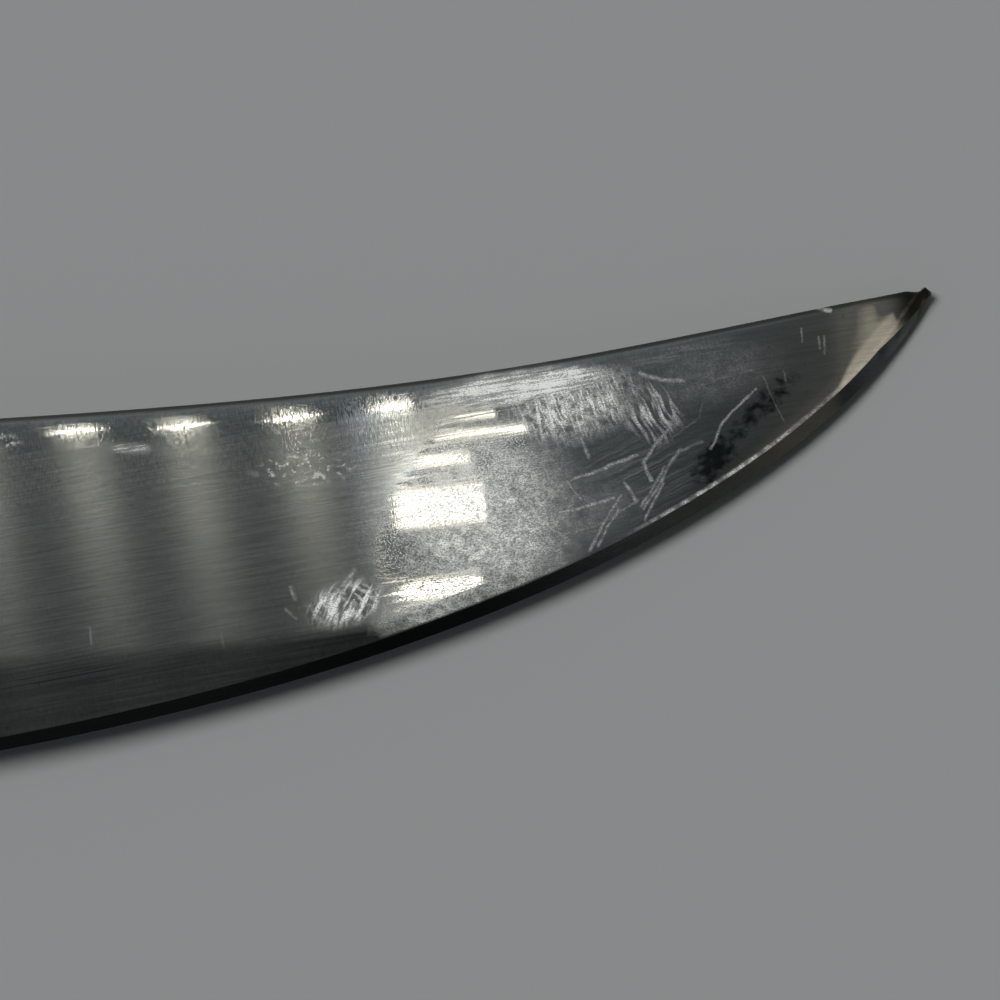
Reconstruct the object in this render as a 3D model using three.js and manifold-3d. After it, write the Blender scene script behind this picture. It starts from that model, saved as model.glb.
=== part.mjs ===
// A steak knife lying on its side, in millimetres, +Z up. A ground steel blade runs back into a full tang, which
// is held between two wooden scales by three cutler's rivets, each a tube half and a pin half pressed together.
//
// The knife's own frame, before it is laid down: X runs from the front of the handle (0) to the tip, Y towards the
// spine with the straight part of the spine at 0, and Z across the steel with its middle at 0.

import * as THREE from "three";
import { mergeVertices } from "three/addons/utils/BufferGeometryUtils.js";
import loadManifold from "manifold-3d";

const wasm = await loadManifold();
wasm.setup();

// Blade outline
const BLADE_LENGTH = 120; // front of the handle to the tip
const RICASSO_LENGTH = 6; // full-thickness steel between the handle and the edge
const HEEL_WIDTH = 18.5; // spine to edge where the edge starts
const CHOIL_LENGTH = 5; // run of the curve from the handle's lower corner down to the heel
const BELLY_WIDTH = 21.2; // spine to edge at the widest place
const BELLY_X = 30; // the widest place, ahead of the handle
const SWEEP_X = 49; // where the spine leaves its straight line and sweeps up
const TIP_RISE = 5.5; // tip above the straight spine
const TIP_FLAT = 0.6; // blunt end of the tip
const TIP_SPINE_ANGLE = 9; // degrees that the spine climbs at the tip
const TIP_EDGE_ANGLE = 57; // degrees that the edge climbs at the tip

// Curve handles of the blade outline, as shares of the stretch that each one shapes
const SWEEP_START_PULL = 0.59;
const SWEEP_TIP_PULL = 0.355;
const BELLY_PULL = 0.587;
const EDGE_TIP_PULL = 0.176;
const HEEL_PULL = 0.4;

// Blade section
const STEEL_THICKNESS = 1.7; // rolled stock, left at the ricasso and tang
const HEEL_THICKNESS = 1.62; // ground and polished flanks where the edge starts
const TIP_THICKNESS = 0.55; // flanks at the tip
const EDGEWARD_TAPER = 0.25; // thickness lost between the spine and the edge at the belly
const GRIND_DEPTH = 14.2; // spine down to the line where the flanks turn in towards the edge
const EDGE_LAND = 1.3; // least height of that grind above the edge
const EDGE_BEVEL = 0.7; // width of the sharpened bevel
const EDGE_THICKNESS = 0.52; // steel at the top of the sharpened bevel
const SPINE_ROUND = 1.1; // height of the rounding along the spine
const SPINE_FLAT_SHARE = 0.45; // share of the thickness that stays flat along the spine
const TIP_CROWDING = 0.9; // share of the height that roundings and bevels may fill where the tip runs out

// Handle outline: widths are spine line to underside
const HANDLE_LENGTH = 112;
const HANDLE_CROWN = 2; // pull of the gently arched back above the spine line
const BACK_TURN = 8; // where the back turns down into the butt, ahead of its end
const BACK_DROP = 1.6; // the back below the spine line at that place
const BUTT_MIDDLE = 10; // the rearmost point, below the spine line
const BUTT_ROUND = 5; // pull of the curves either side of it
const FRONT_WIDTH = 17;
const GROOVE_X = 17; // finger groove, behind the front of the handle
const GROOVE_WIDTH = 15.4;
const GRIP_X = 58; // fullest part of the grip, behind the front of the handle
const GRIP_WIDTH = 19.2;
const WAIST_SETBACK = 26; // waist, ahead of the butt's end
const WAIST_WIDTH = 17.9;
const HOOK_SETBACK = 7.5; // lowest point of the butt, ahead of its end
const HOOK_WIDTH = 23.2;

// Handle section
const SCALE_FRONT_THICKNESS = 3.2; // one scale at the front of the handle
const SCALE_TAPER_ANGLE = 1.65; // degrees between each scale's face and the steel: the scales thicken to the rear
const SCALE_ROUND_WIDTH = 3; // rounding of the scale's rim, in from the outline
const SCALE_ROUND_HEIGHT = 2.2; // rounding of the scale's rim at the front, down from the face
const GLUE_LINE = 0.1; // glue between scale and tang

// Rivets
const RIVET_NAMES = ["front", "middle", "rear"];
const RIVET_FRONT = 16; // front of the handle to the first rivet
const RIVET_REAR = 24; // last rivet to the butt's end
const RIVET_HEAD_DIAMETER = 6.5;
const RIVET_HEAD_HEIGHT = 1.6;
const RIVET_TUBE_DIAMETER = 4.2;
const RIVET_PIN_DIAMETER = 2.6;
const RIVET_CLEARANCE = 0.1; // round and under the rivet in its holes
const PIN_CLEARANCE = 0.05; // round the pin in its tube
const RIVET_END_GAP = 0.5; // end of tube or pin to the other half's head

// Facets
const STATIONS = 52; // sections along the blade
const ROUND_STEPS = 4; // facets across each rounding
const HANDLE_STEPS = 44; // facets along the handle's back, and as many along its underside
const RIVET_SIDES = 28;

const taper = THREE.MathUtils.degToRad(SCALE_TAPER_ANGLE);
const steelHalf = STEEL_THICKNESS / 2;
const scaleSeat = steelHalf + GLUE_LINE; // middle of the steel to the scale's inner face
const handleFrontHalf = scaleSeat + SCALE_FRONT_THICKNESS;

const point = (x, y) => new THREE.Vector2(x, y);
const turnedBy = (length, degrees) => point(length, 0).rotateAround(point(0, 0), THREE.MathUtils.degToRad(degrees));

// Middle of the steel to the scale's outer face
const handleHalf = (x) => handleFrontHalf - x * Math.tan(taper);

function solidOf(geometry) {
  geometry.deleteAttribute("normal");
  geometry.deleteAttribute("uv");
  const merged = mergeVertices(geometry);
  const corners = merged.index.array;
  const triangles = [];
  for (let i = 0; i < corners.length; i += 3) {
    const [a, b, c] = corners.subarray(i, i + 3);
    if (a !== b && b !== c && c !== a) triangles.push(a, b, c);
  }
  const triVerts = new Uint32Array(triangles);
  const vertProperties = merged.getAttribute("position").array;
  return new wasm.Manifold(new wasm.Mesh({ numProp: 3, vertProperties, triVerts }));
}

function meshOf(name, solid, material) {
  const { vertProperties, triVerts } = solid.getMesh();
  const geometry = new THREE.BufferGeometry();
  geometry.setAttribute("position", new THREE.BufferAttribute(vertProperties, 3));
  geometry.setIndex(new THREE.BufferAttribute(triVerts, 1));
  geometry.computeVertexNormals();
  const mesh = new THREE.Mesh(geometry, material);
  mesh.name = name;
  return mesh;
}

// Skin over a row of closed sections with as many points each. Each section runs out along one side and back along
// the other, so a ladder between the two sides closes the ends.
function loft(sections) {
  const sides = sections[0].length;
  const index = [];
  for (let row = 0; row < sections.length - 1; row++) {
    for (let side = 0; side < sides; side++) {
      const a = row * sides + side;
      const b = row * sides + ((side + 1) % sides);
      index.push(a, b, b + sides, a, b + sides, a + sides);
    }
  }
  const last = (sections.length - 1) * sides;
  for (let rung = 0; rung < (sides - 1) / 2; rung++) {
    const [a, b, c, d] = [rung, rung + 1, sides - 2 - rung, sides - 1 - rung];
    index.push(a, d, b, last + a, last + b, last + d);
    if (b < c) index.push(b, d, c, last + b, last + c, last + d);
  }
  const geometry = new THREE.BufferGeometry().setFromPoints(sections.flat());
  geometry.setIndex(index);
  return geometry;
}

// Height of a curve at a place along the knife, found by halving the curve's range
function heightAt(curve, x) {
  const forwards = curve.getPoint(1).x > curve.getPoint(0).x;
  let low = 0;
  let high = 1;
  for (let halving = 0; halving < 40; halving++) {
    const middle = (low + high) / 2;
    if (curve.getPoint(middle).x < x === forwards) low = middle;
    else high = middle;
  }
  return curve.getPoint(high).y;
}

function joined(...curves) {
  const path = new THREE.CurvePath();
  curves.forEach((curve) => path.add(curve));
  return path;
}

// Blade: the two long curves of its outline
const sweep = BLADE_LENGTH - SWEEP_X;
const bellyRun = BLADE_LENGTH - BELLY_X;
const heelRun = BELLY_X - RICASSO_LENGTH;
const spineTip = point(BLADE_LENGTH, TIP_RISE);
const edgeTip = point(BLADE_LENGTH, TIP_RISE - TIP_FLAT);

const spineCurve = new THREE.CubicBezierCurve(
  point(SWEEP_X, 0),
  point(SWEEP_X + SWEEP_START_PULL * sweep, 0),
  spineTip.clone().sub(turnedBy(SWEEP_TIP_PULL * sweep, TIP_SPINE_ANGLE)),
  spineTip,
);

const edgeCurve = joined(
  new THREE.CubicBezierCurve(
    point(RICASSO_LENGTH, -HEEL_WIDTH),
    point(RICASSO_LENGTH + HEEL_PULL * heelRun, -(HEEL_WIDTH + BELLY_WIDTH) / 2),
    point(BELLY_X - HEEL_PULL * heelRun, -BELLY_WIDTH),
    point(BELLY_X, -BELLY_WIDTH),
  ),
  new THREE.CubicBezierCurve(
    point(BELLY_X, -BELLY_WIDTH),
    point(BELLY_X + BELLY_PULL * bellyRun, -BELLY_WIDTH),
    edgeTip.clone().sub(turnedBy(EDGE_TIP_PULL * bellyRun, TIP_EDGE_ANGLE)),
    edgeTip,
  ),
);

const spineHeight = (x) => (x <= SWEEP_X ? 0 : heightAt(spineCurve, x));

// Middle of the steel to the ground flank, a plane that closes in towards the tip and towards the edge
function flankHalf(x, y) {
  const along = (x - RICASSO_LENGTH) / (BLADE_LENGTH - RICASSO_LENGTH);
  const thickness = HEEL_THICKNESS - (HEEL_THICKNESS - TIP_THICKNESS) * along;
  return (thickness + EDGEWARD_TAPER * (y / BELLY_WIDTH)) / 2;
}

// One side of the blade's section from the flat of the spine to the top of the sharpened bevel, then the apex
function bladeSection(x, edgeY, edgeSlope) {
  const spineY = spineHeight(x);
  const stretch = Math.hypot(1, edgeSlope); // widths square to the edge, measured along Y
  const wanted = SPINE_ROUND + EDGE_LAND * stretch;
  const crowding = Math.min(1, (TIP_CROWDING * (spineY - edgeY)) / wanted);
  const roundEnd = spineY - SPINE_ROUND * crowding;
  const shoulderY = edgeY + EDGE_BEVEL * stretch * crowding;
  const grindY = Math.max(spineY - GRIND_DEPTH, edgeY + EDGE_LAND * stretch * crowding);
  const roundHalf = flankHalf(x, roundEnd);
  const spineFlat = roundHalf * SPINE_FLAT_SHARE;
  const side = [];
  for (let step = 0; step <= ROUND_STEPS; step++) {
    const angle = (Math.PI / 2) * (step / ROUND_STEPS);
    const y = roundEnd + SPINE_ROUND * crowding * Math.cos(angle);
    side.push([y, spineFlat + (roundHalf - spineFlat) * Math.sin(angle)]);
  }
  side.push([grindY, flankHalf(x, grindY)]);
  side.push([shoulderY, EDGE_THICKNESS / 2]);
  const upper = side.map(([y, z]) => new THREE.Vector3(x, y, z));
  const lower = side.map(([y, z]) => new THREE.Vector3(x, y, -z)).reverse();
  return [...upper, new THREE.Vector3(x, edgeY, 0), ...lower];
}

function groundBlade() {
  const sections = [];
  for (let station = 0; station <= STATIONS; station++) {
    const along = station / STATIONS;
    const edge = edgeCurve.getPoint(along);
    const direction = edgeCurve.getTangent(along);
    sections.push(bladeSection(edge.x, edge.y, direction.y / direction.x));
  }
  const insideRicasso = sections[0].map((corner) => corner.clone().setX(CHOIL_LENGTH));
  return solidOf(loft([insideRicasso, ...sections]));
}

// Handle: its back and its underside, each from the front round to the rearmost point of the butt
const buttEnd = point(-HANDLE_LENGTH, -BUTT_MIDDLE);
const backTurn = point(BACK_TURN - HANDLE_LENGTH, -BACK_DROP);
const hook = point(HOOK_SETBACK - HANDLE_LENGTH, -HOOK_WIDTH);

// A curve that is level at both of its ends
function wave(from, to) {
  const half = (from.x + to.x) / 2;
  return new THREE.CubicBezierCurve(from, point(half, from.y), point(half, to.y), to);
}

const backCurves = [
  new THREE.CubicBezierCurve(
    point(0, 0),
    point(backTurn.x / 3, HANDLE_CROWN),
    point((2 * backTurn.x) / 3, HANDLE_CROWN),
    backTurn,
  ),
  new THREE.CubicBezierCurve(
    backTurn,
    point(backTurn.x - BUTT_ROUND, backTurn.y - BACK_DROP / 2),
    point(buttEnd.x, buttEnd.y + BUTT_ROUND),
    buttEnd,
  ),
];

const undersidePlaces = [
  point(0, -FRONT_WIDTH),
  point(-GROOVE_X, -GROOVE_WIDTH),
  point(-GRIP_X, -GRIP_WIDTH),
  point(WAIST_SETBACK - HANDLE_LENGTH, -WAIST_WIDTH),
  hook,
];
const undersideCurves = [
  ...undersidePlaces.slice(1).map((to, i) => wave(undersidePlaces[i], to)),
  new THREE.CubicBezierCurve(
    hook,
    point(hook.x - BUTT_ROUND, hook.y),
    point(buttEnd.x, buttEnd.y - BUTT_ROUND),
    buttEnd,
  ),
];

const handleBack = joined(...backCurves);
const handleUnderside = joined(...undersideCurves);
const tangBack = joined(new THREE.LineCurve(point(RICASSO_LENGTH, 0), point(0, 0)), ...backCurves);
const tangUnderside = joined(
  new THREE.LineCurve(point(RICASSO_LENGTH, -HEEL_WIDTH), point(CHOIL_LENGTH, -HEEL_WIDTH)),
  wave(point(CHOIL_LENGTH, -HEEL_WIDTH), point(0, -FRONT_WIDTH)),
  ...undersideCurves,
);

// The outline between two such curves, drawn in by an inset from its curves and from its straight front
function outlineOf(back, underside, inset) {
  const inner = (curve, turn) => {
    const front = curve.getPoint(0).x;
    return Array.from({ length: HANDLE_STEPS + 1 }, (_, step) => {
      const place = curve.getPoint(step / HANDLE_STEPS);
      const inwards = curve.getTangent(step / HANDLE_STEPS).rotateAround(point(0, 0), turn);
      place.addScaledVector(inwards, inset);
      place.x = Math.min(place.x, front - inset);
      return place;
    });
  };
  const over = inner(back, Math.PI / 2);
  const under = inner(underside, -Math.PI / 2);
  return [...over, ...under.slice(0, -1).reverse()];
}

const levelled = (outline, heightOf) => outline.map(({ x, y }) => new THREE.Vector3(x, y, heightOf(x)));

// Half way between the back and the underside of the handle
const handleMiddle = (x) => (heightAt(handleBack, x) + heightAt(handleUnderside, x)) / 2;

// The whole handle's rounded wedge, which the scales and the rivet heads are cut from
function handleBody() {
  const rim = [];
  for (let step = 0; step <= ROUND_STEPS; step++) {
    const angle = (Math.PI / 2) * (step / ROUND_STEPS);
    const inset = SCALE_ROUND_WIDTH * (1 - Math.sin(angle));
    const below = SCALE_ROUND_HEIGHT * (1 - Math.cos(angle)); // down from the face, at the front of the handle
    const share = 1 - below / handleFrontHalf;
    rim.push({ outline: outlineOf(handleBack, handleUnderside, inset), share });
  }
  const lower = rim.map(({ outline, share }) => levelled(outline, (x) => -share * handleHalf(x)));
  const upper = rim.map(({ outline, share }) => levelled(outline, (x) => share * handleHalf(x))).reverse();
  return solidOf(loft([...lower, ...upper]));
}

function tangPlate() {
  const outline = outlineOf(tangBack, tangUnderside, 0);
  return solidOf(loft([levelled(outline, () => -steelHalf), levelled(outline, () => steelHalf)]));
}

// All the space on one side of a scale's inner face
function sideOfSteel(sign) {
  const reach = 2 * HANDLE_LENGTH;
  const geometry = new THREE.BoxGeometry(2 * reach, 2 * reach, reach);
  return solidOf(geometry.translate(0, 0, sign * (scaleSeat + reach / 2)));
}

// A body turned from a profile of [radius, height] points that runs from its lower to its upper end
function turned(profile, x) {
  const points = profile.map(([radius, height]) => point(radius, height));
  const geometry = new THREE.LatheGeometry(points, RIVET_SIDES);
  geometry.rotateX(Math.PI / 2);
  return solidOf(geometry.translate(x, handleMiddle(x), 0));
}

const rivets = RIVET_NAMES.map((name, place) => {
  const pitch = (HANDLE_LENGTH - RIVET_FRONT - RIVET_REAR) / (RIVET_NAMES.length - 1);
  const x = -RIVET_FRONT - place * pitch;
  const seat = handleHalf(x) - RIVET_HEAD_HEIGHT; // middle of the steel to the underside of the heads
  const past = handleHalf(x) + RIVET_HEAD_HEIGHT; // beyond the scale's face, to be cut flush with it
  return { name, x, seat, past, end: seat - RIVET_END_GAP };
});

const headRadius = RIVET_HEAD_DIAMETER / 2;
const tubeRadius = RIVET_TUBE_DIAMETER / 2;
const pinRadius = RIVET_PIN_DIAMETER / 2;

function rivetTube({ x, seat, past, end }) {
  const boreRadius = pinRadius + PIN_CLEARANCE;
  return turned([
    [0, -past], [headRadius, -past], [headRadius, -seat], [tubeRadius, -seat],
    [tubeRadius, end], [boreRadius, end], [boreRadius, -seat], [0, -seat],
  ], x);
}

function rivetPin({ x, seat, past, end }) {
  return turned([
    [0, -end], [pinRadius, -end], [pinRadius, seat], [headRadius, seat], [headRadius, past], [0, past],
  ], x);
}

function rivetHole({ x, seat, past }) {
  const holeRadius = tubeRadius + RIVET_CLEARANCE;
  const sinkRadius = headRadius + RIVET_CLEARANCE;
  const sinkFloor = seat - RIVET_CLEARANCE;
  return turned([
    [0, -past], [sinkRadius, -past], [sinkRadius, -sinkFloor], [holeRadius, -sinkFloor],
    [holeRadius, sinkFloor], [sinkRadius, sinkFloor], [sinkRadius, past], [0, past],
  ], x);
}

const steel = () => new THREE.MeshStandardMaterial({ color: 0x8b9091, roughness: 0.22, metalness: 1 });
const walnut = () => new THREE.MeshStandardMaterial({ color: 0x54372a, roughness: 0.5, metalness: 0 });
const brass = () => new THREE.MeshStandardMaterial({ color: 0xb08d4c, roughness: 0.3, metalness: 1 });

const handle = handleBody();
const holes = rivets.map(rivetHole).reduce((all, hole) => all.add(hole));

const tang = tangPlate().subtract(holes);

const knife = new THREE.Group();
knife.add(meshOf("blade", tang.add(groundBlade()), steel()));
knife.add(meshOf("upper_scale", handle.intersect(sideOfSteel(1)).subtract(holes), walnut()));
knife.add(meshOf("lower_scale", handle.intersect(sideOfSteel(-1)).subtract(holes), walnut()));
for (const rivet of rivets) {
  knife.add(meshOf(`${rivet.name}_rivet_tube`, rivetTube(rivet).intersect(handle), brass()));
  knife.add(meshOf(`${rivet.name}_rivet_pin`, rivetPin(rivet).intersect(handle), brass()));
}

// Laid on its side: the lower scale's flat face rests at Z = 0, so the blade slopes down towards its tip. The
// origin is under the middle of the knife's box.
knife.rotation.y = taper;
knife.position.z = handleFrontHalf * Math.cos(taper);
const middle = new THREE.Box3().setFromObject(knife, true).getCenter(new THREE.Vector3());
knife.position.x -= middle.x;
knife.position.y -= middle.y;

export default knife;
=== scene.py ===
"""A worn steak knife lying on its side.

Sizes are millimetres in the knife's own frame, unless a comment says otherwise: X runs from the front of
the handle (0) to the tip, Y towards the spine with the straight part of the spine at 0, and Z across the
steel with its middle at 0.
"""

import math

import bmesh
import bpy
from mathutils import Matrix, Quaternion, Vector


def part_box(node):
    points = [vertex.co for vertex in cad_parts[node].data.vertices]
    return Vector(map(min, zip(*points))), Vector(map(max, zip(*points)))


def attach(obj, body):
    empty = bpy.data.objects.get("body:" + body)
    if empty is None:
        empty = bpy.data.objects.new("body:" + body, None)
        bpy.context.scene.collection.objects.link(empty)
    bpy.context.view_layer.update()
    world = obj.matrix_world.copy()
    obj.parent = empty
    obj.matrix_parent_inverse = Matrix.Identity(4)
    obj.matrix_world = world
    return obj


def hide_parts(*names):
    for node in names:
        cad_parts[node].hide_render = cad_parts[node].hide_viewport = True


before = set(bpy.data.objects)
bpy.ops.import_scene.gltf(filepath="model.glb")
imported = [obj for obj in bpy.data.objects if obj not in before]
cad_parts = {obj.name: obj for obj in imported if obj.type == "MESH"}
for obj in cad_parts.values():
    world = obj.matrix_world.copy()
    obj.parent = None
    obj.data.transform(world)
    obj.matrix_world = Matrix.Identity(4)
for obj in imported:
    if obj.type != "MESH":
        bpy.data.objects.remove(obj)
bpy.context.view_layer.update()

MM = 0.001  # metres

# Blade outline
BLADE_LENGTH = 120
RICASSO_LENGTH = 6
HEEL_WIDTH = 18.5
CHOIL_LENGTH = 5
BELLY_WIDTH = 21.2
BELLY_X = 30
SWEEP_X = 49
TIP_RISE = 5.5
TIP_FLAT = 0.6
TIP_SPINE_ANGLE = math.radians(9)
TIP_EDGE_ANGLE = math.radians(57)
SWEEP_START_PULL = 0.59
SWEEP_TIP_PULL = 0.355
BELLY_PULL = 0.587
EDGE_TIP_PULL = 0.176
HEEL_PULL = 0.4

# Blade section
STEEL_THICKNESS = 1.7
HEEL_THICKNESS = 1.62
TIP_THICKNESS = 0.55
EDGEWARD_TAPER = 0.25
GRIND_DEPTH = 14.2
EDGE_LAND = 1.3
EDGE_BEVEL = 0.7
EDGE_THICKNESS = 0.52
EDGE_RADIUS = 0.012  # a table knife's worn edge
EDGE_THINNING = 0.9  # most of the flank's thickness that is left at the top of the sharpened bevel
SPINE_FLAT_SHARE = 0.45
TIP_CROWDING = 0.9  # share of the height that roundings and bevels may fill where the tip runs out
PLUNGE = (3.5, 9.0)  # where the ricasso runs out into the ground blade
CORNER_EASE = 0.16  # broken corners of the tang and ricasso

# How hand polishing has dubbed the ground flanks
SPINE_ROUND = 0.45  # rounded corner along the spine
SPINE_SHOULDER = 1.9  # from the spine down to where the flank starts to lean towards it
SHOULDER_LEAN = 0.015  # lean gained on each millimetre of that, in radians
TIP_DROOP = 0.19  # how far the tip has bent down
TIP_DROOP_X = (113.8, 118.4)
EDGE_ROLL_X = (103, 112)  # where the flanks start to roll off towards the edge, and where they do so fully
EDGE_ROLL_WIDTH = 1.7
EDGE_ROLL_SHARE = 0.8  # most of the blade's height that the roll may take
EDGE_ROLL_DROP = 0.14
GRIND_RUNOUT_X = (91, 99)  # where the grind towards the edge runs out into the flank

# Burr turned up at the point
BURR_DIP = 0.17  # worn spine just behind it, below the spine's line
BURR_DIP_X = (118.5, 119.25)
BURR_RISE_X = (119.35, 119.6)
BURR_FALL = 0.35
BURR_FALL_X = (119.7, 120)

# Handle outline
HANDLE_LENGTH = 112
HANDLE_CROWN = 2
BACK_TURN = 8
BACK_DROP = 1.6
BUTT_MIDDLE = 10
BUTT_ROUND = 5
FRONT_WIDTH = 17
GROOVE_X = 17
GROOVE_WIDTH = 15.4
GRIP_X = 58
GRIP_WIDTH = 19.2
WAIST_SETBACK = 26
WAIST_WIDTH = 17.9
HOOK_SETBACK = 7.5
HOOK_WIDTH = 23.2

# Handle section
SCALE_FRONT_THICKNESS = 3.2
SCALE_TAPER = math.radians(1.65)
SCALE_ROUND_WIDTH = 3
SCALE_ROUND_HEIGHT = 2.2
GLUE_LINE = 0.1
INNER_EASE = 0.1  # broken corner beside the glue line

# Rivets
RIVET_NAMES = ("front", "middle", "rear")
RIVET_FRONT = 16
RIVET_REAR = 24
RIVET_HEAD_RADIUS = 3.25
RIVET_HEAD_HEIGHT = 1.6
RIVET_TUBE_RADIUS = 2.1
RIVET_PIN_RADIUS = 1.3
RIVET_CLEARANCE = 0.1
PIN_CLEARANCE = 0.05
RIVET_END_GAP = 0.5
RIVET_EASE = 0.12  # corner of the head, broken by sanding
EASE_BULGE = 0.3  # share of that corner that is cut away at its middle

# Mesh steps
BLADE_STEP = 0.4
TIP_STEP = 0.12
TIP_STEP_X = 116
TANG_STEPS = 150
OUTLINE_STEPS = 220
ROUND_STEPS = 10
SHOULDER_STEPS = 6
FLANK_STEPS = 26
GRIND_STEPS = 6
BEVEL_STEPS = 3
RIM_STEPS = 12
RIVET_SIDES = 96
CURVE_STEPS = 200
HALVINGS = 40
SLOPE_STEP = 0.05
SCALE_CRISP = 35  # degrees between faces from which an edge stays crisp
RIVET_CRISP = 50

steel_half = STEEL_THICKNESS / 2
scale_seat = steel_half + GLUE_LINE
handle_front_half = scale_seat + SCALE_FRONT_THICKNESS


# Where the knife lies: the rearmost and lowest points of the tang place it, and its lower scale rests on
# the floor
blade_low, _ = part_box("blade")
lay_turn = Matrix.Rotation(SCALE_TAPER, 4, "Y")
lay_offset = Vector((
    blade_low.x / MM + HANDLE_LENGTH * math.cos(SCALE_TAPER) + steel_half * math.sin(SCALE_TAPER),
    blade_low.y / MM + HOOK_WIDTH,
    handle_front_half * math.cos(SCALE_TAPER),
))
lay = Matrix.Scale(MM, 4) @ Matrix.Translation(lay_offset) @ lay_turn


def between(start, end, share):
    return start + (end - start) * share


def eased(start, end, value):
    """0 up to start, 1 from end on, and a smooth rise between them."""
    share = min(1, max(0, (value - start) / (end - start)))
    return share * share * (3 - 2 * share)


# Outline curves, each four corners of a cubic curve
def on_curve(corners, share):
    rest = 1 - share
    weights = (rest**3, 3 * rest**2 * share, 3 * rest * share**2, share**3)
    return tuple(sum(w * dull_corner_painted_dark[axis] for w, dull_corner_painted_dark in zip(weights, corners)) for axis in (0, 1))


def height_at(curve, x):
    """Height of a curve at a place along the knife, found by halving the curve's range."""
    forwards = curve[3][0] > curve[0][0]
    low, high = 0, 1
    for _ in range(HALVINGS):
        middle = (low + high) / 2
        if (on_curve(curve, middle)[0] < x) == forwards:
            low = middle
        else:
            high = middle
    return on_curve(curve, high)[1]


def level_wave(start, end):
    """A curve that is level at both of its ends."""
    half = (start[0] + end[0]) / 2
    return (start, (half, start[1]), (half, end[1]), end)


def evenly_along(curves, steps):
    """Points at even distances along joined curves, each with the direction that the curve runs there."""
    fine = [curves[0][0]]
    for curve in curves:
        fine += [on_curve(curve, (step + 1) / CURVE_STEPS) for step in range(CURVE_STEPS)]
    travelled = [0]
    for before, after in zip(fine, fine[1:]):
        travelled.append(travelled[-1] + math.dist(before, after))
    points = []
    place = 0
    for step in range(steps + 1):
        wanted = travelled[-1] * step / steps
        while place < len(fine) - 2 and travelled[place + 1] < wanted:
            place += 1
        run = travelled[place + 1] - travelled[place]
        start, end = Vector(fine[place]), Vector(fine[place + 1])
        share = (wanted - travelled[place]) / run if run else 0
        points.append((start.lerp(end, share), (end - start).normalized()))
    return points


sweep = BLADE_LENGTH - SWEEP_X
belly_run = BLADE_LENGTH - BELLY_X
heel_run = BELLY_X - RICASSO_LENGTH
spine_pull = SWEEP_TIP_PULL * sweep
spine_pull_x = BLADE_LENGTH - spine_pull * math.cos(TIP_SPINE_ANGLE)
edge_pull = EDGE_TIP_PULL * belly_run
edge_pull_x = BLADE_LENGTH - edge_pull * math.cos(TIP_EDGE_ANGLE)
edge_tip_y = TIP_RISE - TIP_FLAT
SPINE_CURVE = (
    (SWEEP_X, 0),
    (SWEEP_X + SWEEP_START_PULL * sweep, 0),
    (spine_pull_x, TIP_RISE - spine_pull * math.sin(TIP_SPINE_ANGLE)),
    (BLADE_LENGTH, TIP_RISE),
)
CHOIL_CURVE = level_wave((0, -FRONT_WIDTH), (CHOIL_LENGTH, -HEEL_WIDTH))
HEEL_CURVE = (
    (RICASSO_LENGTH, -HEEL_WIDTH),
    (RICASSO_LENGTH + HEEL_PULL * heel_run, -(HEEL_WIDTH + BELLY_WIDTH) / 2),
    (BELLY_X - HEEL_PULL * heel_run, -BELLY_WIDTH),
    (BELLY_X, -BELLY_WIDTH),
)
BELLY_CURVE = (
    (BELLY_X, -BELLY_WIDTH),
    (BELLY_X + BELLY_PULL * belly_run, -BELLY_WIDTH),
    (edge_pull_x, edge_tip_y - edge_pull * math.sin(TIP_EDGE_ANGLE)),
    (BLADE_LENGTH, edge_tip_y),
)

butt_end = (-HANDLE_LENGTH, -BUTT_MIDDLE)
back_turn = (BACK_TURN - HANDLE_LENGTH, -BACK_DROP)
hook = (HOOK_SETBACK - HANDLE_LENGTH, -HOOK_WIDTH)
HANDLE_BACK = [
    ((0, 0), (back_turn[0] / 3, HANDLE_CROWN), (back_turn[0] * 2 / 3, HANDLE_CROWN), back_turn),
    (
        back_turn,
        (back_turn[0] - BUTT_ROUND, back_turn[1] - BACK_DROP / 2),
        (butt_end[0], butt_end[1] + BUTT_ROUND),
        butt_end,
    ),
]
underside_places = [
    (0, -FRONT_WIDTH),
    (-GROOVE_X, -GROOVE_WIDTH),
    (-GRIP_X, -GRIP_WIDTH),
    (WAIST_SETBACK - HANDLE_LENGTH, -WAIST_WIDTH),
    hook,
]
HANDLE_UNDERSIDE = [level_wave(*ends) for ends in zip(underside_places, underside_places[1:])]
HANDLE_UNDERSIDE.append(
    (hook, (hook[0] - BUTT_ROUND, hook[1]), (butt_end[0], butt_end[1] - BUTT_ROUND), butt_end)
)


def spine_height(x):
    height = height_at(SPINE_CURVE, x) if x > SWEEP_X else 0
    dip = BURR_DIP * (eased(*BURR_DIP_X, x) - eased(*BURR_RISE_X, x))
    return height - dip - BURR_FALL * eased(*BURR_FALL_X, x)


def edge_height(x):
    if x < CHOIL_LENGTH:
        return height_at(CHOIL_CURVE, x)
    if x < RICASSO_LENGTH:
        return -HEEL_WIDTH
    return height_at(HEEL_CURVE if x < BELLY_X else BELLY_CURVE, x)


def handle_half(x):
    """Middle of the steel to the scale's outer face."""
    return handle_front_half - x * math.tan(SCALE_TAPER)


def handle_height_at(curves, x):
    return next(height_at(curve, x) for curve in curves if curve[3][0] <= x <= curve[0][0])


def handle_middle(x):
    return (handle_height_at(HANDLE_BACK, x) + handle_height_at(HANDLE_UNDERSIDE, x)) / 2


def flank_half(x, y):
    """Middle of the steel to the ground flank, a plane that closes in towards the tip and the edge."""
    along = (x - RICASSO_LENGTH) / (BLADE_LENGTH - RICASSO_LENGTH)
    return (between(HEEL_THICKNESS, TIP_THICKNESS, along) + EDGEWARD_TAPER * y / BELLY_WIDTH) / 2


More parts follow.
